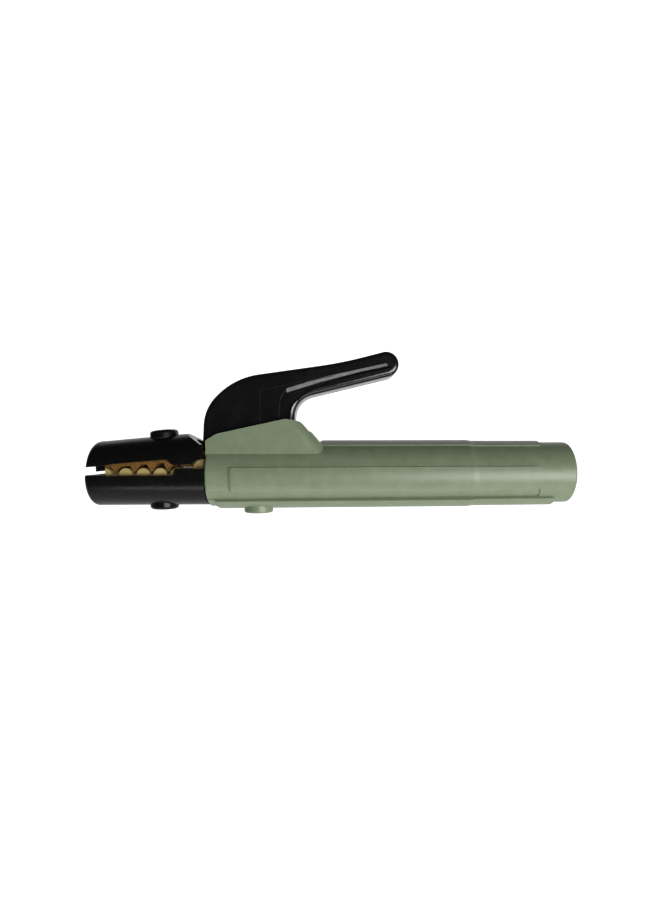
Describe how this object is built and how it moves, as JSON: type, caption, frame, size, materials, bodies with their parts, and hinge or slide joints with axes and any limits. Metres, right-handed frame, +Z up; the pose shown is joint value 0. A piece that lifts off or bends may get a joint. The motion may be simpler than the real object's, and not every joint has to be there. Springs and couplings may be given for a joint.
{
  "type": "welding electrode holder",
  "caption": "Tong-type welding electrode holder: ribbed grey-green handle sleeve, black sprung squeeze lever, and toothed brass jaws inside black insulating shells.",
  "frame": {"origin": "centre of the cable socket's mouth, on the handle's axis", "axes": "+X along the handle to its open rear end, where the cable enters; +Z up through the lever; jaws towards -X; symmetrical about the XZ plane"},
  "size_m": [0.24, 0.0342, 0.0809],
  "materials": {
    "handle_plastic": "grey-green moulded fibre-filled thermoset, satin from handling",
    "insulator_black": "black moulded phenolic, faint sheen",
    "lever_black": "black moulded thermoset, semi-gloss",
    "jaw_brass": "cast brass, bright on the teeth, dull and brown in the recesses",
    "zinc_steel": "zinc-plated steel",
    "spring_steel": "oil-blacked spring steel",
    "ferrule_copper": "rolled copper strip"
  },
  "bodies": {
    "handle": {"handle_sleeve": "handle_plastic", "handle_screw_cap": "handle_plastic", "handle_screw": "zinc_steel", "jaw_body": "jaw_brass", "lower_jaw_insulator": "insulator_black", "lower_insulator_head": "insulator_black", "lower_insulator_stud": "zinc_steel", "hinge_pin": "zinc_steel", "hinge_clips": "spring_steel", "hinge_washers": "zinc_steel", "lower_spring_cup": "zinc_steel", "return_spring": "spring_steel", "cable_ferrule": "ferrule_copper", "cable_set_screws": "zinc_steel"},
    "lever": {"upper_jaw": "jaw_brass", "upper_jaw_insulator": "insulator_black", "upper_insulator_head": "insulator_black", "upper_insulator_stud": "zinc_steel", "lever_cover": "lever_black", "lever_pins": "zinc_steel", "upper_spring_cup": "zinc_steel"}
  },
  "joints": [
    {"name": "lever_hinge", "type": "hinge", "parent": "handle", "child": "lever", "pos_m": [-0.069, 0, 0.009], "axis": [0, 1, 0], "range_deg": [0, 14], "stiffness_Nm_per_rad": 12, "springref_deg": -20.05, "deforming": ["return_spring"]}
  ]
}
